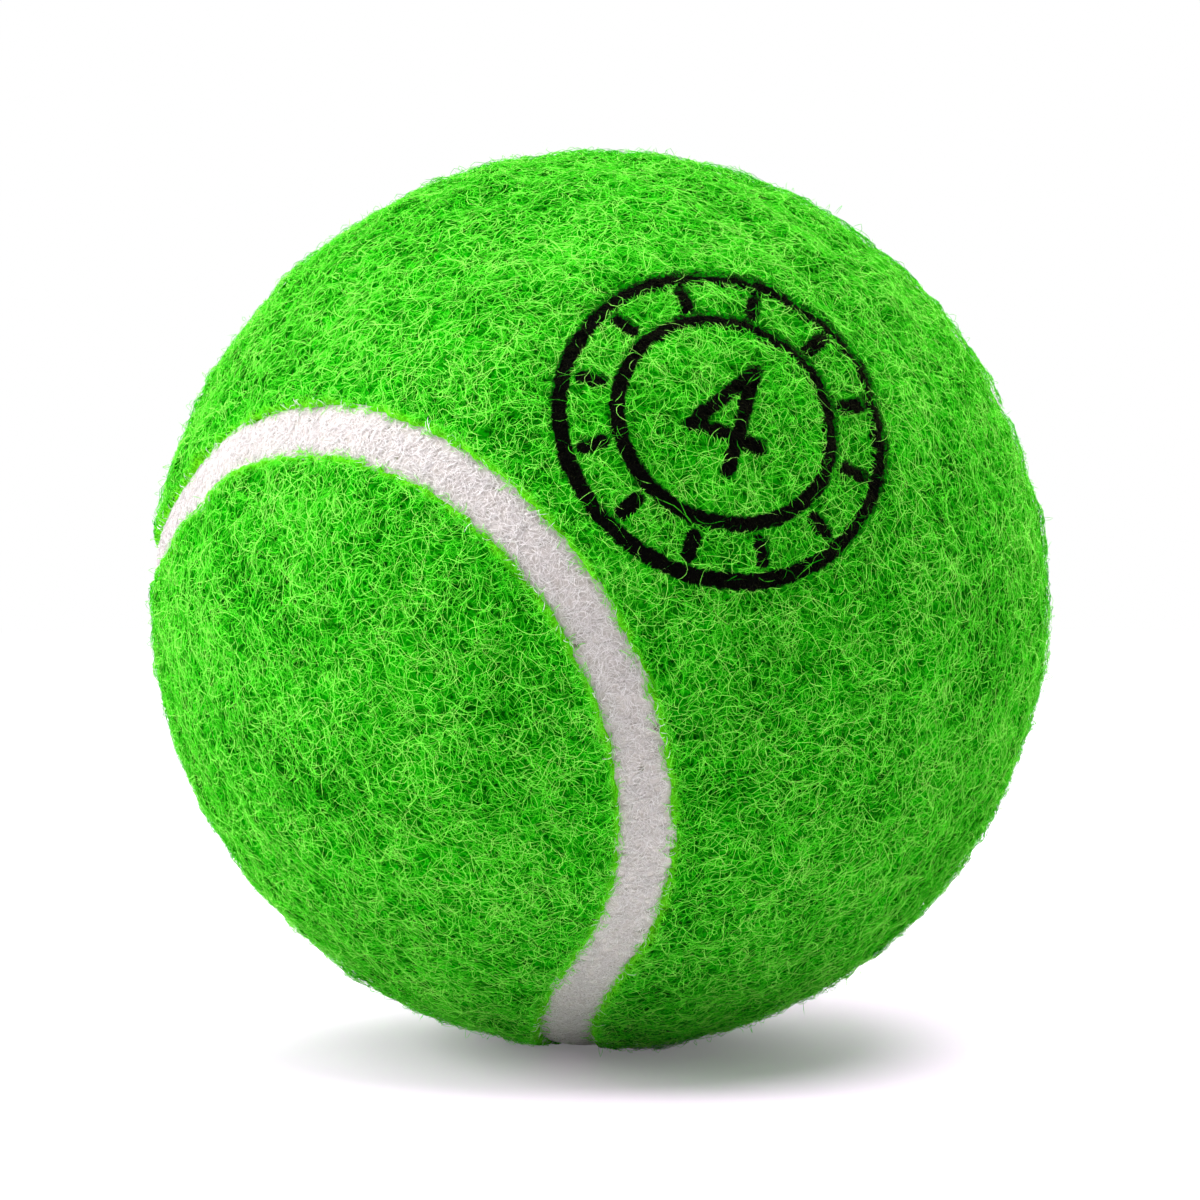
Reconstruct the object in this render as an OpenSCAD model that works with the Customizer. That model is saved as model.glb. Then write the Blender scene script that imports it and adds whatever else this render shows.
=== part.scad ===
/* [Ball] */
// Diameter of the ball over its cloth
ball_d = 66; // [65.4:0.1:68.6]

/* [Core] */
// Wall of the hollow rubber core
core_wall = 3.3; // [2.5:0.1:4.5]
// Thickness of the bonded joint between the two halves of the core
bond_t = 0.3; // [0.1:0.05:0.6]
// Radius of the bead that the joint squeezes out inside the core
bead_r = 0.8; // [0.4:0.1:1.5]
// Thickness of the rubber solution dried on the outside of the core
coat_t = 0.15; // [0.1:0.05:0.4]

/* [Cloth] */
// Height of the felted pile of a cloth panel
pile_t = 2.6; // [1.8:0.1:3.5]
// Thickness of the woven ground of the cloth, with the cement on its back
ground_t = 0.25; // [0.15:0.05:0.5]
// Radius that the pile is rounded to along the edge of a panel
pile_edge_r = 0.8; // [0.4:0.1:1.6]

/* [Seam] */
// Width of the seam between the edges of the two panels
seam_w = 3.8; // [2:0.1:5]
// Depth of the seam's face below the surface of the cloth
seam_recess = 0.45; // [0.1:0.05:1.2]

/* [How the ball lies] */
// Turn about the X axis, in degrees
lie_x = 47.3; // [-180:0.1:180]
// Turn about the Y axis that follows, in degrees
lie_y = -16.8; // [-180:0.1:180]
// Turn about the Z axis that comes last, in degrees
lie_z = 48.8; // [-180:0.1:180]

/* [Hidden] */
$fn = 144;

// The layers, from the cloth inwards
ball_r = ball_d / 2;
ground_r = ball_r - pile_t;
coat_r = ground_r - ground_t;
core_r = coat_r - coat_t;
core_inner_r = core_r - core_wall;
overrun = ball_r / 10;

right_angle = 90;
half_turn = 2 * right_angle;

// The seam is a closed wave of four arcs, each half of a circle drawn on the ball. Two arcs bulge
// up, round the X axis and its far side, and two bulge down, round the Y axis and its far side.
// Each circle lies half a right angle from its middle, so neighbours touch and run on smoothly,
// and the two panels between the arcs have one shape: a waist over one end and a lobe each side.
arc_count = 4;
arc_steps = 24;
wave_points = arc_count * arc_steps;
lobe_angle = right_angle / 2;
seam_half_angle = asin(seam_w / 2 / ball_r);

// A panel is cut out of its layer by a solid that fans out from the middle of the ball. Past the
// ball it closes in rings round the waist, far enough out that no flat of it touches the cloth.
cap_rings = 5;
cap_reach_share = 1.3;
cap_r = cap_reach_share * ball_r;

// The rounding of the pile's edge is this many flats, and the last one runs on out of the cloth
edge_flats = 3;
edge_runout_share = 1.5;

// A point of the unit circle round the X axis, at an angle from that axis; turn 0 is its start
function circle_point(angle, turn) = [cos(angle), sin(angle) * cos(turn), sin(angle) * sin(turn)];

function turned_about_z(p, turn) =
    [p[0] * cos(turn) - p[1] * sin(turn), p[0] * sin(turn) + p[1] * cos(turn), p[2]];

// Point i of the wave on a ball of radius 1, moved off the middle of the seam by an angle:
// a positive one moves it into the panel whose waist is on top
function wave_point(i, off) =
    let(
        arc = floor(i / arc_steps),
        bulges_up = arc % 2 == 0,
        turn = half_turn * (1 - i % arc_steps / arc_steps),
        p = circle_point(lobe_angle + (bulges_up ? off : -off), turn)
    )
    turned_about_z(bulges_up ? p : [p[0], p[1], -p[2]], right_angle * arc);

// The same point drawn back towards the top of the ball by a share of its way there
function towards_top(p, back_share) =
    let(from_top = acos(p[2]) * (1 - back_share), around = atan2(p[1], p[0]))
    [sin(from_top) * cos(around), sin(from_top) * sin(around), cos(from_top)];

// The solid that cuts out a panel. Each entry of its edge is a radius and an angle from the
// middle of the seam, from the ball's middle outwards.
module panel_cutter(edge) {
    last_off = edge[len(edge) - 1][1];
    edge_points = [
        for (e = edge)
            for (i = [0 : wave_points - 1])
                e[0] * wave_point(i, e[1])
    ];
    cap_points = [
        for (ring = [1 : cap_rings - 1])
            for (i = [0 : wave_points - 1])
                cap_r * towards_top(wave_point(i, last_off), ring / cap_rings)
    ];
    ring_count = len(edge) + cap_rings - 1;
    top = 1 + ring_count * wave_points;
    fan = [
        for (i = [0 : wave_points - 1])
            [0, 1 + i, 1 + (i + 1) % wave_points]
    ];
    sides = [
        for (ring = [0 : ring_count - 2])
            for (i = [0 : wave_points - 1])
                let(
                    a = 1 + ring * wave_points + i,
                    b = 1 + ring * wave_points + (i + 1) % wave_points
                )
                each [[a, a + wave_points, b], [b, a + wave_points, b + wave_points]]
    ];
    lid = [
        for (i = [0 : wave_points - 1])
            [top, top - wave_points + (i + 1) % wave_points, top - wave_points + i]
    ];
    polyhedron(
        concat([[0, 0, 0]], edge_points, cap_points, [[0, 0, cap_r]]),
        concat(fan, sides, lid)
    );
}

// The pile's rounded edge, from its foot at the seam's side to where the last flat runs out
function edge_point(flat) =
    let(turn = right_angle * flat / edge_flats)
    [ball_r - pile_edge_r * (1 - sin(turn)), pile_edge_r * (1 - cos(turn))];

function run_on(from, to, share) = from + share * (to - from);

function as_radius_and_angle(p) = [p[0], seam_half_angle + asin(p[1] / ball_r)];

straight_edge = [[cap_r, seam_half_angle]];
rounded_edge = concat(
    [for (flat = [0 : edge_flats - 1]) as_radius_and_angle(edge_point(flat))],
    [
        for (r_and_in = [run_on(edge_point(edge_flats - 1), edge_point(edge_flats), edge_runout_share)])
            each [as_radius_and_angle(r_and_in), [cap_r, as_radius_and_angle(r_and_in)[1]]]
    ]
);

module shell(inner_r, outer_r) {
    difference() {
        sphere(r = outer_r);
        sphere(r = inner_r);
    }
}

// The ball as it came to rest, with its seam where it is seen
module as_it_lies() {
    rotate([lie_x, lie_y, lie_z])
        children();
}

// The other panel's place: a quarter turn on, with the waist underneath
module other_panel() {
    rotate([0, 0, right_angle])
        mirror([0, 0, 1])
            children();
}

// Half of the hollow core, which stops short of its rim by half the bonded joint
module core_half() {
    color([0.17, 0.17, 0.18])
        difference() {
            shell(core_inner_r, core_r);
            translate([-core_r - overrun, -core_r - overrun, bond_t / 2 - core_r - overrun])
                cube([2 * (core_r + overrun), 2 * (core_r + overrun), core_r + overrun]);
        }
}

module core_half_upper() {
    core_half();
}

module core_half_lower() {
    mirror([0, 0, 1])
        core_half();
}

// The cured joint of the core: a flat ring between the rims and the bead inside them
module core_bond() {
    color([0.45, 0.36, 0.22])
        rotate_extrude()
            union() {
                intersection() {
                    circle(r = core_r);
                    translate([core_inner_r - bead_r / 2, -bond_t / 2])
                        square([core_wall + overrun, bond_t]);
                }
                intersection() {
                    circle(r = core_inner_r);
                    translate([core_inner_r, 0])
                        circle(r = bead_r);
                }
            }
}

// The rubber solution that the whole core is coated with before it is covered
module core_coat() {
    color([0.30, 0.27, 0.22])
        shell(core_r, coat_r);
}

module cloth_ground() {
    color([0.80, 0.77, 0.66])
        intersection() {
            shell(coat_r, ground_r);
            panel_cutter(straight_edge);
        }
}

module cloth_ground_a() {
    as_it_lies()
        cloth_ground();
}

module cloth_ground_b() {
    as_it_lies()
        other_panel()
            cloth_ground();
}

module felt_panel() {
    color([0.22, 0.80, 0.10])
        intersection() {
            shell(ground_r, ball_r);
            panel_cutter(rounded_edge);
        }
}

module felt_panel_a() {
    as_it_lies()
        felt_panel();
}

module felt_panel_b() {
    as_it_lies()
        other_panel()
            felt_panel();
}

// The seam compound, one closed band that fills the gap between the panels down to the core
module seam() {
    color([0.88, 0.85, 0.85])
        as_it_lies()
            difference() {
                intersection() {
                    shell(coat_r, ball_r - seam_recess);
                    panel_cutter([[cap_r, -seam_half_angle]]);
                }
                panel_cutter(straight_edge);
            }
}

core_half_upper();
core_half_lower();
core_bond();
core_coat();
cloth_ground_a();
cloth_ground_b();
felt_panel_a();
felt_panel_b();
seam();
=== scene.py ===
import math

import bpy
import numpy as np
from mathutils import Euler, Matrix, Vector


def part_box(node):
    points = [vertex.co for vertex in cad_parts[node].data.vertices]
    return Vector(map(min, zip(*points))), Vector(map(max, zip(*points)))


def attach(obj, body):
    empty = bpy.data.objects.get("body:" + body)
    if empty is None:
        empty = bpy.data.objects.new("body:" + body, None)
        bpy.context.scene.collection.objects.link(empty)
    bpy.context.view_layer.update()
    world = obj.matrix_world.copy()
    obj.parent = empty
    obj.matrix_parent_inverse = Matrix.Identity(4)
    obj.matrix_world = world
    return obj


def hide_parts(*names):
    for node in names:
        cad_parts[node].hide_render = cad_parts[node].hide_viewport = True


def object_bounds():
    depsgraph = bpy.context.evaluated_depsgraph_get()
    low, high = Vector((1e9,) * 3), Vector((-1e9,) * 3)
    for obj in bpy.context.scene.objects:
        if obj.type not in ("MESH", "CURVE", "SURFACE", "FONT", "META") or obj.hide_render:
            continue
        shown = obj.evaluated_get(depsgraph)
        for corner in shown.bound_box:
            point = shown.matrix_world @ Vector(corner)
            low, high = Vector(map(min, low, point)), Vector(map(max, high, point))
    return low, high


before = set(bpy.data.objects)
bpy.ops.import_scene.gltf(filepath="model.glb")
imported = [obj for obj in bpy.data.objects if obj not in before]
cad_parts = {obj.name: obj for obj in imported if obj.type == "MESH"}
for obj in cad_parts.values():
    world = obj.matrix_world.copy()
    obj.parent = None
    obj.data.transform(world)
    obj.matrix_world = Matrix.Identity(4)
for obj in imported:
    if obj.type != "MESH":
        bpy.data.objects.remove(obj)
cad_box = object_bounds()

# Core halves
# The core is two cups moulded from black filled rubber and joined at their rims. Their outsides
# are buffed on a belt so that the glue takes, which leaves a matt face with fine scratches.
mm = 0.001
rubber_dark = (0.030, 0.030, 0.033, 1)
rubber_dusty = (0.085, 0.083, 0.080, 1)
rubber_roughness = 0.82
buffing_scale = 900
buffing_stretch = (1, 1, 0.08)
buffing_depth = 0.05 * mm
dust_scale = 140


def new_group(name, inputs, outputs):
    """A shader node group with these (name, kind, start value) inputs and (name, kind) outputs."""
    group = bpy.data.node_groups.new(name, "ShaderNodeTree")
    for socket, kind, value in inputs:
        made = group.interface.new_socket(socket, in_out="INPUT", socket_type=kind)
        if value is not None:
            made.default_value = value
    for socket, kind in outputs:
        group.interface.new_socket(socket, in_out="OUTPUT", socket_type=kind)
    return group, group.nodes.new("NodeGroupInput"), group.nodes.new("NodeGroupOutput")


def feed(tree, socket, value):
    """Sets an input to a value, or links it where the value is another node's socket."""
    if isinstance(value, bpy.types.NodeSocket):
        tree.links.new(value, socket)
    else:
        socket.default_value = value


def add_node(tree, kind, settings=None, **links):
    """A node with its settings, and its inputs, named with _ for spaces, set or linked."""
    node = tree.nodes.new(kind)
    for name, value in (settings or {}).items():
        setattr(node, name, value)
    for name, value in links.items():
        wanted = name.replace("_", " ")
        socket = next(s for s in node.inputs if s.name == wanted and s.enabled and not s.is_linked)
        feed(tree, socket, value)
    return node


def math_node(tree, operation, *values, clamp=False):
    """The output of a Math node whose inputs are these sockets and numbers."""
    node = tree.nodes.new("ShaderNodeMath")
    node.operation = operation
    node.use_clamp = clamp
    for socket, value in zip(node.inputs, values):
        feed(tree, socket, value)
    return node.outputs[0]


noise_mean = 0.5


def noise(tree, place, scale, detail=2.0):
    """The grey of a noise texture at a place, from 0 to 1."""
    node = add_node(tree, "ShaderNodeTexNoise", Vector=place, Scale=scale, Detail=detail)
    return node.outputs[0]


def ramp(tree, factor, stops):
    """The colour of a ramp through (place, colour) stops."""
    node = add_node(tree, "ShaderNodeValToRGB", Fac=factor)
    elements = node.color_ramp.elements
    while len(elements) < len(stops):
        elements.new(0.5)
    for element, (place, colour) in zip(elements, stops):
        element.position = place
        element.color = colour
    return node.outputs[0]


def mixed(tree, factor, first, second):
    """The colour between two others, by a factor from 0 to 1."""
    node = add_node(tree, "ShaderNodeMix", {"data_type": "RGBA"}, Factor=factor, A=first, B=second)
    return next(s for s in node.outputs if s.enabled)


def new_material(name, **constants):
    """A material with a Principled BSDF, whose even values are set on its own sockets."""
    material = bpy.data.materials.new(name)
    material.use_nodes = True
    tree = material.node_tree
    shader = tree.nodes["Principled BSDF"]
    for socket, value in constants.items():
        shader.inputs[socket.replace("_", " ")].default_value = value
    place = tree.nodes.new("ShaderNodeTexCoord").outputs["Object"]
    return material, tree, shader, place


def raised(tree, shader, height, depth):
    """Feeds a height into the shader's normal, through a Bump node of this depth."""
    bump = add_node(tree, "ShaderNodeBump", Height=height, Distance=depth)
    tree.links.new(bump.outputs[0], shader.inputs["Normal"])


def dress(node, material):
    """Gives a CAD node its material."""
    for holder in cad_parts[node].material_slots:
        holder.material = material


buffed, given, out = new_group(
    "buffed_rubber",
    [("Vector", "NodeSocketVector", None), ("Scale", "NodeSocketFloat", buffing_scale)],
    [("Dust", "NodeSocketFloat"), ("Height", "NodeSocketFloat")],
)
stretched = add_node(buffed, "ShaderNodeMapping", Vector=given.outputs["Vector"], Scale=buffing_stretch)
scratches = noise(buffed, stretched.outputs[0], given.outputs["Scale"], detail=3)
patches = noise(buffed, given.outputs["Vector"], dust_scale)
buffed.links.new(math_node(buffed, "MULTIPLY", scratches, patches), out.inputs["Dust"])
buffed.links.new(scratches, out.inputs["Height"])

core_rubber, tree, shader, place = new_material("core_rubber", Roughness=rubber_roughness)
finish = add_node(tree, "ShaderNodeGroup", {"node_tree": buffed}, Vector=place)
dusted = mixed(tree, finish.outputs["Dust"], rubber_dark, rubber_dusty)
tree.links.new(dusted, shader.inputs["Base Color"])
raised(tree, shader, finish.outputs["Height"], buffing_depth)
dress("core_half_upper", core_rubber)
dress("core_half_lower", core_rubber)

# Core bond
# The rims are coated with rubber cement and cured together in a press. It squeezes out inside
# as a smooth amber bead and leaves a thin line between the halves.
bond_amber = (0.30, 0.17, 0.055, 1)
bond_brown = (0.13, 0.070, 0.025, 1)
bond_roughness = 0.38
bond_clouds = 260
bond_depth = 0.03 * mm

core_bond, tree, shader, place = new_material("core_bond", Roughness=bond_roughness)
clouds = noise(tree, place, bond_clouds, detail=3)
tree.links.new(mixed(tree, clouds, bond_brown, bond_amber), shader.inputs["Base Color"])
raised(tree, shader, clouds, bond_depth)
dress("core_bond", core_bond)

# Core coat
# The whole core is rolled in rubber solution, which dries to a thin tacky skin with runs and
# small bubbles. The cloth is pressed on to it.
coat_brown = (0.12, 0.10, 0.07, 1)
coat_pale = (0.24, 0.20, 0.13, 1)
coat_roughness = 0.5
coat_runs = 120
coat_bubbles = 1400
coat_depth = 0.04 * mm

core_coat, tree, shader, place = new_material("core_coat", Roughness=coat_roughness)
runs = noise(tree, place, coat_runs, detail=4)
bubbles = add_node(tree, "ShaderNodeTexVoronoi", Vector=place, Scale=coat_bubbles)
tree.links.new(mixed(tree, runs, coat_brown, coat_pale), shader.inputs["Base Color"])
raised(tree, shader, math_node(tree, "ADD", runs, bubbles.outputs["Distance"]), coat_depth)
dress("core_coat", core_coat)

# Cloth grounds
# Each panel's pile stands on a woven cotton ground, which is soaked with rubber cement on its
# back. The weave shows as small raised squares of warp and weft.
cotton = (0.62, 0.56, 0.42, 1)
cemented = (0.40, 0.34, 0.22, 1)
ground_roughness = 0.9
threads_per_metre = 1100
weave_depth = 0.06 * mm

cloth_ground, tree, shader, place = new_material("cloth_ground", Roughness=ground_roughness)
warp = add_node(tree, "ShaderNodeTexWave", {"bands_direction": "X"}, Vector=place, Scale=threads_per_metre)
weft = add_node(tree, "ShaderNodeTexWave", {"bands_direction": "Z"}, Vector=place, Scale=threads_per_metre)
crossed = math_node(tree, "MULTIPLY", warp.outputs["Fac"], weft.outputs["Fac"])
tree.links.new(mixed(tree, crossed, cemented, cotton), shader.inputs["Base Color"])
raised(tree, shader, crossed, weave_depth)
dress("cloth_ground_a", cloth_ground)
dress("cloth_ground_b", cloth_ground)

# Felt panels
# Two dumbbell-shaped panels of wool and nylon felt wrap the core, each bent over a quarter turn
# of the other. Their cut edges are rounded over, and the surface is lumpy where the wool mats.
ball_r = max(abs(c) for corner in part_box("felt_panel_a") for c in corner)
ground_r = max(abs(c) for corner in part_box("cloth_ground_a") for c in corner)
seam_r = max(abs(c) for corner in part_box("seam") for c in corner)
coat_r = max(abs(c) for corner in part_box("core_coat") for c in corner)
lie_angles = (47.3, -16.8, 48.8)
lie = np.array(Euler([math.radians(a) for a in lie_angles], "XYZ").to_matrix())
seam_w = 3.8 * mm
edge_round = 0.5 * mm
edge_wander = 0.085 * mm
edge_wander_length = 1.2 * mm
arcs = 4
lobe_angle = math.pi / 4
seam_half_angle = math.asin(seam_w / 2 / ball_r)
panel_cells = 220
rim_crowding = 1.35
underlay_depth = 0.50 * mm
underlay_rise = 0.7 * mm
underlay_at_edge = 0.25
lump_height = 0.11 * mm
lump_length = 5.5 * mm
tuft_height = 0.065 * mm
tuft_length = 1.7 * mm
hill_spread = (0.7, 1.5)


def unit(v):
    """Vectors scaled to length 1."""
    return v / np.maximum(np.linalg.norm(v, axis=-1, keepdims=True), 1e-12)


def seam_point(place, off):
    """A direction on the seam's wave of four half circles. Place counts the arcs from 0 to 4, and
    off is an angle from the seam's middle towards panel A."""
    place = np.asarray(place) % arcs
    arc = np.floor(place)
    up = np.where(arc % 2 == 0, 1, -1)
    angle = lobe_angle + up * off
    turn = math.pi * (1 - place % 1)
    x = np.cos(angle)
    y = np.sin(angle) * np.cos(turn)
    z = np.sin(angle) * np.sin(turn) * up
    east, north = np.cos(arc * math.pi / 2), np.sin(arc * math.pi / 2)
    return np.stack([x * east - y * north, x * north + y * east, z], -1)


def seam_angle(way):
    """The angle from the seam's middle of directions as the ball lies, positive on panel A."""
    x, y, z = np.moveaxis(np.clip(way @ lie, -1, 1), -1, 0)
    return np.where(z >= 0, np.arccos(np.abs(x)) - lobe_angle, lobe_angle - np.arccos(np.abs(y)))


def relief(points, length, seed, waves=22):
    """Smooth random hills about a length apart, with a mean of 0 and a usual height of 1."""
    draw = np.random.default_rng(seed)
    heading = unit(draw.normal(size=(waves, 3)))
    rate = heading * 2 * math.pi / (length * draw.uniform(*hill_spread, (waves, 1)))
    phase = draw.uniform(0, 2 * math.pi, waves)
    return np.cos(points @ rate.T + phase).sum(-1) * math.sqrt(2 / waves)


def edge_drift(way):
    """How far the cut edge has wandered into its panel near these directions."""
    return edge_wander * relief(way * ball_r, edge_wander_length, seed=13)


def from_edge(way):
    """How far directions lie inside the cut edge of their panel. It is negative on the seam."""
    return np.abs(seam_angle(way)) * ball_r - seam_w / 2 - edge_drift(way)


def felt_surface(way):
    """The radius of the felt's lumpy surface, rounded over at the cut edge."""
    inside = np.clip(from_edge(way), 0, edge_round)
    rounded = ball_r - edge_round + np.sqrt(edge_round**2 - (edge_round - inside) ** 2)
    lumps = lump_height * relief(way * ball_r, lump_length, seed=11)
    return rounded + lumps + tuft_height * relief(way * ball_r, tuft_length, seed=12)


def mesh_piece(name, points, corners, counts, floats, material):
    """A piece made of points, the corners of its faces one after another, how many each face has,
    and named numbers for each point."""
    mesh = bpy.data.meshes.new(name)
    mesh.vertices.add(len(points))
    mesh.vertices.foreach_set("co", points.astype(np.float32).ravel())
    mesh.loops.add(len(corners))
    mesh.loops.foreach_set("vertex_index", corners.astype(np.int32))
    mesh.polygons.add(len(counts))
    mesh.polygons.foreach_set("loop_start", (np.cumsum(counts) - counts).astype(np.int32))
    mesh.polygons.foreach_set("use_smooth", np.full(len(counts), True))
    mesh.update(calc_edges=True)
    for key, values in floats.items():
        mesh.attributes.new(key, "FLOAT", "POINT").data.foreach_set("value", values.astype(np.float32))
    mesh.materials.append(material)
    piece = bpy.data.objects.new(name, mesh)
    bpy.context.scene.collection.objects.link(piece)
    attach(piece, "root")
    return piece


def grid_quads(rows, columns, start=0):
    """The corners of the squares of a grid of points."""
    at = start + np.arange(rows * columns).reshape(rows, columns)
    return np.stack([at[:-1, :-1], at[1:, :-1], at[1:, 1:], at[:-1, 1:]], -1).reshape(-1, 4)


def as_panel_a(way):
    """Directions on the first panel, turned to where the ball lies."""
    return way @ lie.T


def as_panel_b(way):
    """The same directions on the second panel: a quarter turn on, with the waist underneath."""
    return way[..., (1, 0, 2)] * (1, 1, -1) @ lie.T


def panel_directions(placed):
    """A square grid of directions over a panel, crowded towards its wandering edge."""
    line = np.linspace(-1, 1, panel_cells + 1)
    a, b = np.meshgrid(line, line, indexing="ij")
    wide = np.abs(a) > np.abs(b)
    long = np.where(wide, a, b)
    short = np.where(wide, b, a)
    lean = math.pi / 4 * short / np.where(long == 0, 1, long)
    turn = np.where(wide, lean, math.pi / 2 - lean) + math.pi * (long < 0)
    rim = seam_point(turn / (2 * math.pi) * arcs, seam_half_angle)
    rim = seam_point(turn / (2 * math.pi) * arcs, seam_half_angle + edge_drift(placed(rim)) / ball_r)
    share = 1 - (1 - np.abs(long)) ** rim_crowding
    from_top = np.arccos(rim[..., 2]) * share
    round_top = np.arctan2(rim[..., 1], rim[..., 0])
    across = np.sin(from_top)
    return placed(np.stack([across * np.cos(round_top), across * np.sin(round_top), np.cos(from_top)], -1))


def felt_cloth(name, directions, replaced):
    """A panel as one closed solid: the lumpy outside, the wall of the cut edge and the back."""
    side = panel_cells + 1
    way = directions.reshape(-1, 3)
    inset = underlay_depth * np.clip(from_edge(way) / underlay_rise, underlay_at_edge, 1)
    front = way * (felt_surface(way) - inset)[:, None]
    back = way * ground_r
    at = np.arange(side * side).reshape(side, side)
    rim = np.concatenate([at[:-1, 0], at[-1, :-1], at[:0:-1, -1], at[0, :0:-1]])
    after = np.roll(rim, -1)
    wall = np.stack([rim, rim + side * side, after + side * side, after], -1)
    quads = np.concatenate([grid_quads(side, side), grid_quads(side, side, side * side)[:, ::-1], wall])
    points = np.concatenate([front, back])
    edge = np.concatenate([from_edge(way)] * 2) / mm
    counts = np.full(len(quads), 4)
    piece = mesh_piece(name, points, quads.ravel(), counts, {"from_edge": edge}, green_felt)
    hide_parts(replaced)


# The dye is even; the ramp's deep green end is painted shade for the mat's gaps and lower layers, and its
# pale end a painted highlight on its raised fibres
gap_shade_deep = (0.0005, 0.055, 0.0005, 1)
dye_mid = (0.006, 0.430, 0.002, 1)
dye_light = (0.112, 0.865, 0.030, 1)
highlight_pale = (0.390, 0.980, 0.145, 1)
dye_edge = (0.200, 0.820, 0.015, 1)
dye_shade_and_highlight_stops = [(0.0, gap_shade_deep), (0.32, dye_mid), (0.66, dye_light), (1.0, highlight_pale)]
blotch_scale = 150
blotch_share = 0.45
speck_scale = 1100
speck_share = 0.20
edge_dye_reach_mm = 0.65
edge_dye_share = 0.7

dye_and_shade, given, out = new_group(
    "felt_dye_and_shade",
    [
        ("Vector", "NodeSocketVector", None),
        ("Tone", "NodeSocketFloat", None),
        ("From edge", "NodeSocketFloat", None),
    ],
    [("Color", "NodeSocketColor")],
)
blotches = noise(dye_and_shade, given.outputs["Vector"], blotch_scale, detail=3)
blotches = math_node(dye_and_shade, "SUBTRACT", blotches, noise_mean)
specks = noise(dye_and_shade, given.outputs["Vector"], speck_scale)
specks = math_node(dye_and_shade, "SUBTRACT", specks, noise_mean)
toned = math_node(dye_and_shade, "MULTIPLY_ADD", blotches, blotch_share, given.outputs["Tone"])
toned = math_node(dye_and_shade, "MULTIPLY_ADD", specks, speck_share, toned)
body = ramp(dye_and_shade, toned, dye_shade_and_highlight_stops)
inwards = math_node(dye_and_shade, "DIVIDE", given.outputs["From edge"], edge_dye_reach_mm)
near = math_node(dye_and_shade, "SUBTRACT", 1.0, inwards, clamp=True)
near = math_node(dye_and_shade, "MULTIPLY", near, edge_dye_share)
dye_and_shade.links.new(mixed(dye_and_shade, near, body, dye_edge), out.inputs["Color"])

# A dial is printed on the felt in black: two rings, twelve short bars and a plain numeral
mark_azimuth = math.radians(19.5)
mark_elevation = math.radians(31.5)
mark_tilt = math.radians(-24)
mark_r = 12.2 * mm
mark_inner_r = 8.2 * mm
mark_line = 1.15 * mm
bar_count = 12
bar_reach = (9.6 * mm, 10.9 * mm)
numeral_h = 8.4 * mm
# The ends of the numeral's strokes, in shares of its height
numeral_stroke_shares = [
    ((0.12, 0.5), (-0.30, -0.18)),
    ((-0.30, -0.18), (0.34, -0.18)),
    ((0.12, 0.5), (0.12, -0.5)),
]
ink_fray = 0.35 * mm
ink_fray_scale = 1900
ink_soft = 0.06 * mm
ink_side = 0.5
ink = (0.003, 0.003, 0.003, 1)


def vector_node(tree, operation, *values):
    """A Vector Math node whose inputs are these sockets and vectors."""
    node = tree.nodes.new("ShaderNodeVectorMath")
    node.operation = operation
    for socket, value in zip(node.inputs, values):
        feed(tree, socket, value)
    return node


stroke, given, out = new_group(
    "ink_stroke",
    [
        ("Point", "NodeSocketVector", None),
        ("From", "NodeSocketVector", None),
        ("To", "NodeSocketVector", None),
    ],
    [("Distance", "NodeSocketFloat")],
)
run = vector_node(stroke, "SUBTRACT", given.outputs["To"], given.outputs["From"]).outputs[0]
reach = vector_node(stroke, "SUBTRACT", given.outputs["Point"], given.outputs["From"]).outputs[0]
along = math_node(
    stroke,
    "DIVIDE",
    vector_node(stroke, "DOT_PRODUCT", reach, run).outputs["Value"],
    vector_node(stroke, "DOT_PRODUCT", run, run).outputs["Value"],
    clamp=True,
)
scaled = vector_node(stroke, "SCALE", run)
stroke.links.new(along, scaled.inputs["Scale"])
short = vector_node(stroke, "SUBTRACT", reach, scaled.outputs[0]).outputs[0]
stroke.links.new(vector_node(stroke, "LENGTH", short).outputs["Value"], out.inputs["Distance"])

out_way = np.array([
    math.sin(mark_azimuth) * math.cos(mark_elevation),
    -math.cos(mark_azimuth) * math.cos(mark_elevation),
    math.sin(mark_elevation),
])
level = unit(np.cross([0, 0, 1], out_way))
rise = np.cross(out_way, level)
mark_right = level * math.cos(mark_tilt) + rise * math.sin(mark_tilt)
mark_up = rise * math.cos(mark_tilt) - level * math.sin(mark_tilt)

dial, given, out = new_group(
    "printed_dial",
    [("Vector", "NodeSocketVector", None), ("Bare", "NodeSocketFloat", 0.0)],
    [("Mask", "NodeSocketFloat")],
)
where = vector_node(dial, "NORMALIZE", given.outputs["Vector"]).outputs[0]
rightwards, upwards, facing = (
    vector_node(dial, "DOT_PRODUCT", where, tuple(way)).outputs["Value"]
    for way in (mark_right, mark_up, out_way)
)
x = math_node(dial, "MULTIPLY", rightwards, ball_r)
y = math_node(dial, "MULTIPLY", upwards, ball_r)
flat = add_node(dial, "ShaderNodeCombineXYZ", X=x, Y=y).outputs[0]
off_middle = vector_node(dial, "LENGTH", flat).outputs["Value"]
outer = math_node(dial, "ABSOLUTE", math_node(dial, "SUBTRACT", off_middle, mark_r))
inner = math_node(dial, "ABSOLUTE", math_node(dial, "SUBTRACT", off_middle, mark_inner_r))
nearest = math_node(dial, "MINIMUM", outer, inner)
half_step = math.pi / bar_count
turned = math_node(dial, "ARCTAN2", y, x)
turned = math_node(dial, "WRAP", turned, half_step, -half_step)
radial = add_node(
    dial,
    "ShaderNodeCombineXYZ",
    X=math_node(dial, "MULTIPLY", math_node(dial, "COSINE", turned), off_middle),
    Y=math_node(dial, "MULTIPLY", math_node(dial, "SINE", turned), off_middle),
).outputs[0]
lines = [(radial, (bar_reach[0], 0, 0), (bar_reach[1], 0, 0))]
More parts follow.
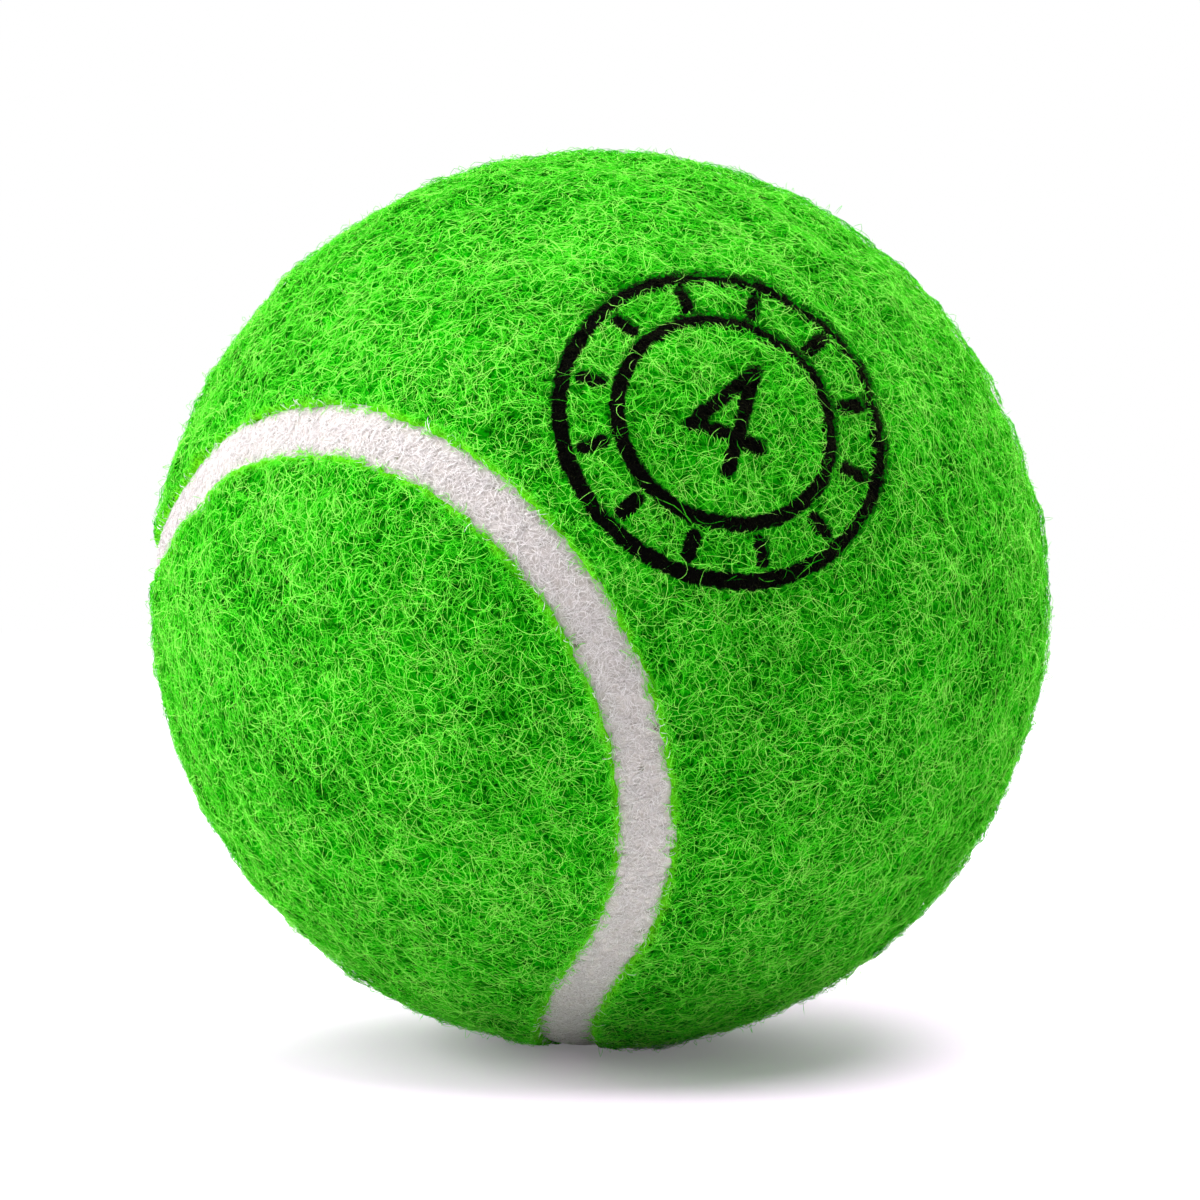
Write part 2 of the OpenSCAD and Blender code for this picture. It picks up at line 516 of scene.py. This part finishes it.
lines += [
    (flat, (a[0] * numeral_h, a[1] * numeral_h, 0), (b[0] * numeral_h, b[1] * numeral_h, 0))
    for a, b in numeral_stroke_shares
]
for point, start, end in lines:
    line = add_node(dial, "ShaderNodeGroup", {"node_tree": stroke}, Point=point, From=start, To=end)
    nearest = math_node(dial, "MINIMUM", nearest, line.outputs[0])
fray = noise(dial, given.outputs["Vector"], ink_fray_scale, detail=3)
fray = math_node(dial, "SUBTRACT", fray, noise_mean)
nearest = math_node(dial, "MULTIPLY_ADD", fray, ink_fray * 2, nearest)
covered = add_node(
    dial,
    "ShaderNodeMapRange",
    Value=nearest,
    From_Min=mark_line / 2 + ink_soft,
    From_Max=mark_line / 2 - ink_soft,
).outputs[0]
covered = math_node(dial, "MULTIPLY", covered, math_node(dial, "GREATER_THAN", facing, ink_side))
covered = math_node(dial, "MULTIPLY", covered, math_node(dial, "SUBTRACT", 1.0, given.outputs["Bare"]))
dial.links.new(covered, out.inputs["Mask"])


def dyed_shaded_and_printed(tree, shader, place, tone, edge, bare):
    """Feeds the felt's dye, with its painted shade and highlight and the dial printed over it, into the
    shader's colour.
    """
    coloured = add_node(tree, "ShaderNodeGroup", {"node_tree": dye_and_shade}, Vector=place, Tone=tone, From_edge=edge)
    printed = add_node(tree, "ShaderNodeGroup", {"node_tree": dial}, Vector=place, Bare=bare)
    tree.links.new(mixed(tree, printed.outputs[0], coloured.outputs[0], ink), shader.inputs["Base Color"])


def read(tree, name):
    """The numbers that a piece's mesh holds under a name."""
    return add_node(tree, "ShaderNodeAttribute", {"attribute_name": name}).outputs["Fac"]


felt_roughness = 0.9
mat_scale = 2100
tangle_scale = 2600
mat_shade_tones = (0.6, -0.05)
mat_depth = 0.16 * mm

green_felt, tree, shader, place = new_material(
    "green_felt", Roughness=felt_roughness, Specular_IOR_Level=0.0
)
# The cloth's tone rises with the height of its bump and stays at the deep end of the ramp: painted shade in
# its low spots and under the nap, lighter on its raised strands.
to_cell_edge = {"feature": "DISTANCE_TO_EDGE"}
matted = add_node(tree, "ShaderNodeTexVoronoi", to_cell_edge, Vector=place, Scale=mat_scale)
tangle = noise(tree, place, tangle_scale, detail=4)
strands = math_node(tree, "SUBTRACT", tangle, matted.outputs["Distance"])
tone = math_node(tree, "MULTIPLY_ADD", strands, *mat_shade_tones)
dyed_shaded_and_printed(tree, shader, place, tone, read(tree, "from_edge"), 0.0)
raised(tree, shader, strands, mat_depth)

felt_cloth("felt_cloth_a", panel_directions(as_panel_a), "felt_panel_a")
felt_cloth("felt_cloth_b", panel_directions(as_panel_b), "felt_panel_b")

# Seam
# The gap between the panels is filled with an off-white compound that is painted on their cut
# edges. It sets a little below the felt, with cloth dust and short white fibres in its face.
seam_stations = 1800
seam_columns = 21
seam_tuck = 0.4 * mm
seam_crown = 0.16 * mm
seam_rough = 0.012 * mm
seam_rough_length = 0.9 * mm
# The compound is kept greyer than the white fibres on it: partly its own off-white, partly painted shade
# between the fibres. Its pits are coloured dark as well as sunk.
compound_white = (0.65, 0.598, 0.592, 1)
compound_grey = (0.42, 0.375, 0.35, 1)
compound_dark = (0.20, 0.19, 0.14, 1)
compound_roughness = 0.8
dust_grain = 1500
dust_spread = (2.0, -0.55)
pit_scale = 900
pit_spread = (-14.0, 4.2)
pit_depth = 0.03 * mm

seam_compound, tree, shader, place = new_material("seam_compound", Roughness=compound_roughness)
dusty = noise(tree, place, dust_grain, detail=4)
pits = noise(tree, place, pit_scale, detail=1)
whiter = math_node(tree, "MULTIPLY_ADD", dusty, *dust_spread, clamp=True)
chalk_and_shade = mixed(tree, whiter, compound_grey, compound_white)
deep = math_node(tree, "MULTIPLY_ADD", pits, *pit_spread, clamp=True)
tree.links.new(mixed(tree, deep, chalk_and_shade, compound_dark), shader.inputs["Base Color"])
raised(tree, shader, math_node(tree, "SUBTRACT", dusty, deep), pit_depth)


def seam_surface(way):
    """The radius of the seam's face, which is a little higher along its middle."""
    across = np.clip(seam_angle(way) / seam_half_angle, -1, 1)
    rough = seam_rough * relief(way * ball_r, seam_rough_length, seed=21)
    return seam_r + seam_crown * (1 - across**2) + rough


stations = np.arange(seam_stations) / seam_stations * arcs
tucked = seam_half_angle + seam_tuck / ball_r
offs = np.linspace(-tucked, tucked, seam_columns)
face = seam_point(stations[:, None], offs[None, :]) @ lie.T
bed = seam_point(stations[:, None], offs[None, (-1, 0)]) @ lie.T * coat_r
loop = np.concatenate([face * seam_surface(face)[..., None], bed], 1)
at = np.arange(loop.shape[0] * loop.shape[1]).reshape(loop.shape[:2])
next_station = np.roll(at, -1, 0)
next_column = np.roll(at, -1, 1)
quads = np.stack([at, next_column, np.roll(next_station, -1, 1), next_station], -1).reshape(-1, 4)
points = loop.reshape(-1, 3)
counts = np.full(len(quads), 4)
seam_band = mesh_piece("seam_band", points, quads.ravel(), counts, {}, seam_compound)
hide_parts("seam")

# Nap
# Steam and tumbling raise the felt's wool and nylon into a nap: curly fibres that lie on each
# other in every direction, some of which stand off. Each is one closed strand with pointed ends.
faces_per_piece = 199_000
faces_spare = 1.06
tube_sides = 3
tube_turn_share = 0.25
chart_along = (0.1, 0.8)
chart_round = (0.15, 0.7)
combing = 0.9
combing_length = 9 * mm
combing_turn = 2.2
combing_pole = (0.3, 0.2, 0.93)
wave_rates = (0.8, 2.2)
waves_per_mm = 2.4
one_turn = 6.28
tries_per_strand = 1.5
edge_tries_per_strand = 24
tone_skew = 1.4
unprinted_share = 0.06
arched_share = 0.5
weave_rates = (3, 9)
edge_strand_out = 0.18 * mm
nap_strand_out = 0.05 * mm
edge_overhang = 0.4 * mm
nap_overhang = 0.2 * mm
short_near_edge = 3.5 * mm
shortest_share = 0.4
over_seam = 0.12 * mm
floor_gap = 0.04 * mm
nap_roughness = 0.6
nap_sheen = 0.06
nap_sheen_roughness = 0.35
nap_sheen_tint = (0.9, 1.0, 0.35, 1)
rest_plane = min(c[2] for c in cad_box)


def walk(start, heading, turns, step):
    """Directions along strands that start in one direction, head off in another and turn by an
    angle at each step."""
    way = start
    ahead = heading
    found = [way]
    for turn in turns.T:
        side = np.cross(way, ahead)
        ahead = ahead * np.cos(turn)[:, None] + side * np.sin(turn)[:, None]
        way = unit(way + ahead * (step / ball_r)[:, None])
        ahead = unit(ahead - way * (ahead * way).sum(-1, keepdims=True))
        found.append(way)
    return np.stack(found, 1)


def curly(draw, start, length, points, curl, wave):
    """Strands of a length that curl and wave over the ball from their starts."""
    count = len(start)
    level = unit(np.cross(combing_pole, start))
    across = np.cross(start, level)
    lay = combing_turn * relief(start * ball_r, combing_length, seed=31)
    lay += draw.normal(0, combing, count)
    lay += math.pi * draw.integers(0, 2, count)
    heading = level * np.cos(lay)[:, None] + across * np.sin(lay)[:, None]
    step = length / (points - 1)
    steps = np.arange(points - 1)[None, :]
    bend = draw.normal(0, curl, (count, 1)) * step[:, None] / mm
    rate = draw.uniform(*wave_rates, (count, 1)) * step[:, None] / mm * waves_per_mm
    swing = wave * draw.normal(0, 1, (count, 1))
    begun = draw.uniform(0, one_turn, (count, 1))
    return walk(start, heading, bend + swing * np.sin(rate * steps + begun), step)


def in_patches(way, patches):
    """The order that takes directions patch by patch, each patch being a compact part of the
    ball with as many directions as the others, and where each patch ends."""
    rings = max(1, round(math.sqrt(patches * math.pi / 4)))
    by_height = np.argsort(way[:, 2], kind="stable")
    levels = 1 - 2 * (np.arange(rings + 1) / rings)
    weights = np.sqrt(1 - ((levels[1:] + levels[:-1]) / 2) ** 2)
    shares = np.maximum(1, np.rint(patches * weights / weights.sum())).astype(int)
    order = []
    ends = []
    cuts = np.rint(np.cumsum(shares) / shares.sum() * len(way)).astype(int)
    for first, last, share in zip(np.concatenate([[0], cuts[:-1]]), cuts, shares):
        ring = by_height[first:last]
        ring = ring[np.argsort(np.arctan2(way[ring, 1], way[ring, 0]), kind="stable")]
        order.append(ring)
        ends += [first + round(len(ring) * (k + 1) / share) for k in range(share)]
    return np.concatenate(order), ends


def strand_mesh(name, paths, thick, floats, material):
    """Pieces of closed three-sided strands along paths, with at most faces_per_piece in each, and
    a chart for baking that gives each strand a cell of its own."""
    count, points = paths.shape[:2]
    along = unit(np.gradient(paths, axis=1))
    side = unit(np.cross(along, paths))
    up = np.cross(side, along)
    turn = 2 * math.pi * (np.arange(tube_sides) + tube_turn_share) / tube_sides
    spread = side[:, 1:-1, None] * np.cos(turn)[:, None] + up[:, 1:-1, None] * np.sin(turn)[:, None]
    rings = paths[:, 1:-1, None] + spread * (thick / 2)[:, None, None, None]
    each = 2 + (points - 2) * tube_sides
    vertices = np.concatenate([paths[:, :1], rings.reshape(count, -1, 3), paths[:, -1:]], 1)
    ring = 1 + np.arange(tube_sides)
    after = np.roll(ring, -1)
    last = (points - 3) * tube_sides
    corners = [np.stack([np.zeros(tube_sides, int), after, ring], -1).ravel()]
    counts = [3] * tube_sides
    for k in range(points - 3):
        a, b = ring + k * tube_sides, after + k * tube_sides
        corners.append(np.stack([a, b, b + tube_sides, a + tube_sides], -1).ravel())
        counts += [4] * tube_sides
    corners.append(np.stack([ring + last, after + last, np.full(tube_sides, each - 1)], -1).ravel())
    counts += [3] * tube_sides
    corners = np.concatenate(corners)
    triangles = sum(counts) - 2 * len(counts)
    patches = math.ceil(count * triangles / faces_per_piece * faces_spare)
    order, ends = in_patches(unit(paths[:, 0]), patches)
    vertices = vertices[order]
    middle = np.repeat(np.arange(1, points - 1), tube_sides)
    column = np.concatenate([[0], middle, [points - 1]]) / (points - 1)
    row = np.concatenate([[0.5], np.tile(np.linspace(0, 1, tube_sides), points - 2), [0.5]])
    held = {key: np.broadcast_to(values, (count, each))[order] for key, values in floats(column).items()}
    for number, (first, last) in enumerate(zip([0] + ends[:-1], ends), 1):
        here = last - first
        cells = math.ceil(math.sqrt(here))
        index = np.arange(here)[:, None]
        all_corners = (corners[None] + each * index).ravel()
        piece = mesh_piece(
            f"{name}_{number}",
            vertices[first:last].reshape(-1, 3),
            all_corners,
            np.tile(counts, here),
            {key: values[first:last].ravel() for key, values in held.items()},
            material,
        )
        u = (index % cells + chart_along[0] + chart_along[1] * column) / cells
        v = (index // cells + chart_round[0] + chart_round[1] * row) / cells
        spots = np.stack([u, v], -1).reshape(-1, 2)
        chart = piece.data.uv_layers.new(name="OFBake")
        chart.uv.foreach_set("vector", spots[all_corners].astype(np.float32).ravel())


def on_the_floor(paths):
    """Presses strands that reach below the floor flat on to it."""
    pressed = paths.copy()
    pressed[..., 2] = np.maximum(pressed[..., 2], rest_plane + floor_gap)
    return pressed


def nap_layer(
    name, seed, count, points, length, thick, low, high, weave, lift, tones, curl, wave, band=None
):
    """One layer of the green nap on both panels, or on a band along their edges. Its strands lie
    between two heights, weave up and down by an amount, and a share of their ends lift off."""
    draw = np.random.default_rng(seed)
    if band:
        start = unit(draw.normal(size=(count * edge_tries_per_strand, 3)))
        start = start[(from_edge(start) > -edge_strand_out) & (from_edge(start) < band)]
        lengths = draw.uniform(*length, len(start))
    else:
        start = unit(draw.normal(size=(int(count * tries_per_strand), 3)))
        start = start[from_edge(start) > -nap_strand_out]
        grown = np.clip(shortest_share + from_edge(start) / short_near_edge, shortest_share, 1)
        lengths = draw.uniform(*length, len(start)) * grown
    paths = curly(draw, start, lengths, points, curl, wave)
    overhang = draw.exponential(edge_overhang if band else nap_overhang, len(start))
    kept = np.flatnonzero(from_edge(paths).min(1) > -overhang)[:count]
    paths = paths[kept]
    here = len(kept)
    along = np.linspace(0, 1, points)[None, :]
    height = draw.uniform(low, high, (here, 1))
    woven = along * draw.uniform(*weave_rates, (here, 1))
    height = height + weave * np.sin(woven + draw.uniform(0, one_turn, (here, 1)))
    arched = draw.random((here, 1)) < arched_share
    height += draw.exponential(lift, (here, 1)) * np.where(arched, np.sin(math.pi * along), along**2)
    under = np.maximum(felt_surface(paths), np.where(from_edge(paths) < 0, seam_r + over_seam, 0))
    points_at = on_the_floor(paths * (under + height)[..., None])
    tone = tones[0] + (tones[1] - tones[0]) * draw.random((here, 1)) ** tone_skew
    bare = (draw.random((here, 1)) < unprinted_share).astype(float)
    edge = from_edge(paths) / mm
    thickness = draw.uniform(*thick, here)

    def floats(column):
        nearest = np.rint(column * (points - 1)).astype(int)
        return {"tone": tone, "bare": bare, "from_edge": edge[:, nearest]}

    strand_mesh(name, points_at, thickness, floats, nap)


nap, tree, shader, place = new_material(
    "nap",
    Roughness=nap_roughness,
    Specular_IOR_Level=0.0,
    Sheen_Weight=nap_sheen,
    Sheen_Roughness=nap_sheen_roughness,
    Sheen_Tint=nap_sheen_tint,
)
dyed_shaded_and_printed(tree, shader, place, read(tree, "tone"), read(tree, "from_edge"), read(tree, "bare"))

# Within a layer the tone differs at random, but the under layer takes the deep tones as painted shade in the
# mat's gaps and the strays the palest as painted highlight.
nap_layer(
    "nap_under",
    seed=41,
    count=42_000,
    points=5,
    length=(0.9 * mm, 2.2 * mm),
    thick=(0.06 * mm, 0.09 * mm),
    low=-0.50 * mm,
    high=-0.14 * mm,
    weave=0.05 * mm,
    lift=0.0,
    tones=(0.0, 0.28),
    curl=0.6,
    wave=0.5,
)
nap_layer(
    "nap_top",
    seed=42,
    count=104_000,
    points=6,
    length=(0.9 * mm, 3.0 * mm),
    thick=(0.030 * mm, 0.044 * mm),
    low=-0.34 * mm,
    high=0.08 * mm,
    weave=0.07 * mm,
    lift=0.07 * mm,
    tones=(0.37, 0.95),
    curl=0.8,
    wave=0.6,
)
nap_layer(
    "nap_stray",
    seed=43,
    count=7_000,
    points=8,
    length=(1.6 * mm, 4.2 * mm),
    thick=(0.026 * mm, 0.038 * mm),
    low=0.00 * mm,
    high=0.12 * mm,
    weave=0.06 * mm,
    lift=0.05 * mm,
    tones=(0.85, 1.05),
    curl=0.55,
    wave=0.5,
)
nap_layer(
    "nap_edge",
    seed=44,
    count=20_000,
    points=5,
    length=(0.5 * mm, 1.3 * mm),
    thick=(0.034 * mm, 0.052 * mm),
    low=-0.04 * mm,
    high=0.12 * mm,
    weave=0.04 * mm,
    lift=0.03 * mm,
    tones=(0.3, 0.9),
    curl=0.8,
    wave=0.5,
    band=0.8 * mm,
)
nap_layer(
    "nap_fuzz",
    seed=45,
    count=15_000,
    points=5,
    length=(0.5 * mm, 1.3 * mm),
    thick=(0.032 * mm, 0.042 * mm),
    low=0.02 * mm,
    high=0.10 * mm,
    weave=0.03 * mm,
    lift=0.17 * mm,
    tones=(0.5, 0.95),
    curl=1.2,
    wave=0.8,
)

# Seam fibres
# Short white fibres of cotton dust stick in the compound while it is wet and mat over its face.
# A few cross its edges and lie over the felt.
fibre_tries = 34_000
fibre_points = 5
fibre_lengths = (0.4 * mm, 1.4 * mm)
fibre_thick = (0.030 * mm, 0.046 * mm)
fibre_curl = 0.7
fibre_wave = 0.4
fibre_heights = (0.0, 0.13 * mm)
fibre_weave = 0.03 * mm
fibre_weave_rates = (3, 8)
fibre_overhang = 0.26 * mm
fibre_over_felt = 0.05 * mm
fibre_roughness = 0.7
fibre_white = (0.87, 0.838, 0.848, 1)
fibre_grey = (0.69, 0.638, 0.640, 1)

white_nap, tree, shader, place = new_material("white_nap", Roughness=fibre_roughness)
tree.links.new(mixed(tree, read(tree, "tone"), fibre_grey, fibre_white), shader.inputs["Base Color"])

draw = np.random.default_rng(51)
places = draw.uniform(0, arcs, fibre_tries)
start = seam_point(places, draw.uniform(-1, 1, fibre_tries) * seam_half_angle) @ lie.T
lengths = draw.uniform(*fibre_lengths, fibre_tries)
paths = curly(draw, start, lengths, fibre_points, fibre_curl, fibre_wave)
over = -from_edge(paths).max(1)
kept = np.flatnonzero(over > -draw.exponential(fibre_overhang, fibre_tries))
paths = paths[kept]
here = len(kept)
along = np.linspace(0, 1, fibre_points)[None, :]
height = draw.uniform(*fibre_heights, (here, 1))
woven = along * draw.uniform(*fibre_weave_rates, (here, 1))
height = height + fibre_weave * np.sin(woven + draw.uniform(0, one_turn, (here, 1)))
on_felt = np.maximum(felt_surface(paths), seam_r) + fibre_over_felt
skin = np.where(from_edge(paths) > 0, on_felt, seam_surface(paths))
white_tone = draw.uniform(0, 1, (here, 1))
strand_mesh(
    "seam_fibres",
    on_the_floor(paths * (skin + height)[..., None]),
    draw.uniform(*fibre_thick, here),
    lambda column: {"tone": white_tone},
    white_nap,
)

# Floor
# A white table top that the ball lies on. It is a backdrop, not a piece of the ball, and keeps
# the ball's soft shadow.
floor_side = 6.0
floor_fade = (0.10, 0.22)
floor_seen = (0.83, 0.695, 0.85, 1)
floor_lift = 0.15
floor_white_dye = (0.86, 0.86, 0.86, 1)
floor_roughness = 0.9
white = (1, 1, 1, 1)

floor_mesh = bpy.data.meshes.new("floor")
half = floor_side / 2
floor_corners = [(-half, -half, 0), (half, -half, 0), (half, half, 0), (-half, half, 0)]
floor_mesh.from_pydata(floor_corners, [], [(0, 1, 2, 3)])
floor = bpy.data.objects.new("floor", floor_mesh)
floor.location = (0, 0, rest_plane)
bpy.context.scene.collection.objects.link(floor)


def seen_ray(tree):
    """Tells rays from the camera and from glossy surfaces, as 1, from all others, as 0."""
    rays = add_node(tree, "ShaderNodeLightPath").outputs
    return math_node(tree, "MAXIMUM", rays["Is Camera Ray"], rays["Is Glossy Ray"])


floor_white, tree, shader, place = new_material(
    "floor_white", Base_Color=floor_white_dye, Roughness=floor_roughness, Specular_IOR_Level=0.0
)
distance = vector_node(tree, "LENGTH", place).outputs["Value"]
fade = add_node(tree, "ShaderNodeMapRange", Value=distance, From_Min=floor_fade[0], From_Max=floor_fade[1])
seen_white = add_node(tree, "ShaderNodeBsdfDiffuse", Color=floor_seen)
lift_white = add_node(tree, "ShaderNodeEmission", Color=white, Strength=floor_lift)
plain_white = add_node(tree, "ShaderNodeEmission", Color=white, Strength=1.0)
lifted = tree.nodes.new("ShaderNodeAddShader")
tree.links.new(seen_white.outputs[0], lifted.inputs[0])
tree.links.new(lift_white.outputs[0], lifted.inputs[1])
blended = add_node(tree, "ShaderNodeMixShader", Fac=fade.outputs[0])
tree.links.new(lifted.outputs[0], blended.inputs[1])
tree.links.new(plain_white.outputs[0], blended.inputs[2])
shown = add_node(tree, "ShaderNodeMixShader", Fac=seen_ray(tree))
tree.links.new(shader.outputs[0], shown.inputs[1])
tree.links.new(blended.outputs[0], shown.inputs[2])
tree.links.new(shown.outputs[0], tree.nodes["Material Output"].inputs["Surface"])
floor_mesh.materials.append(floor_white)

# Light and camera
# Five broad soft lamps and a faint even light from all round. Two stand on the left, one hangs
# above, one is behind on the right and a weak one on the right. The camera looks down a little.
tent_light = 0.02
lamp_distance = 0.9
lamp_size = 0.8
lamp_angles_and_watts = {
    "left": (-90, 20, 10.9),
    "left_high": (-98, 54, 7.4),
    "top": (70, 80, 11.3),
    "back": (152, 40, 7.8),
    "right": (120, 9, 3.6),
}
camera_elevation = 8
camera_distance = 1.332
camera_lens = 541.5
camera_sensor = 36

world = bpy.data.worlds.new("tent")
bpy.context.scene.world = world
world.use_nodes = True
sky = world.node_tree
background = sky.nodes["Background"]
background.inputs["Strength"].default_value = tent_light
white_sky = add_node(sky, "ShaderNodeBackground", Color=white, Strength=1.0)
background.inputs["Color"].default_value = white
chosen = add_node(sky, "ShaderNodeMixShader", Fac=seen_ray(sky))
sky.links.new(background.outputs[0], chosen.inputs[1])
sky.links.new(white_sky.outputs[0], chosen.inputs[2])
sky.links.new(chosen.outputs[0], sky.nodes["World Output"].inputs["Surface"])


def round_the_ball(azimuth, elevation, distance):
    """A place round the ball, at angles from the side that is seen first."""
    a, e = math.radians(azimuth), math.radians(elevation)
    return np.array([math.sin(a) * math.cos(e), -math.cos(a) * math.cos(e), math.sin(e)]) * distance


def aimed(thing, place):
    """Puts a lamp or camera at a place, looking at the ball's middle."""
    thing.location = place
    thing.rotation_euler = (-thing.location).to_track_quat("-Z", "Y").to_euler()
    bpy.context.scene.collection.objects.link(thing)


for name, (azimuth, elevation, watts) in lamp_angles_and_watts.items():
    light = bpy.data.lights.new(name, "AREA")
    light.shape = "DISK"
    light.size = lamp_size
    light.energy = watts
    aimed(bpy.data.objects.new(name, light), round_the_ball(azimuth, elevation, lamp_distance))

lens = bpy.data.cameras.new("camera")
lens.lens = camera_lens
lens.sensor_width = camera_sensor
camera = bpy.data.objects.new("camera", lens)
aimed(camera, round_the_ball(0, camera_elevation, camera_distance))
bpy.context.scene.camera = camera
bpy.context.scene.view_settings.view_transform = "Standard"
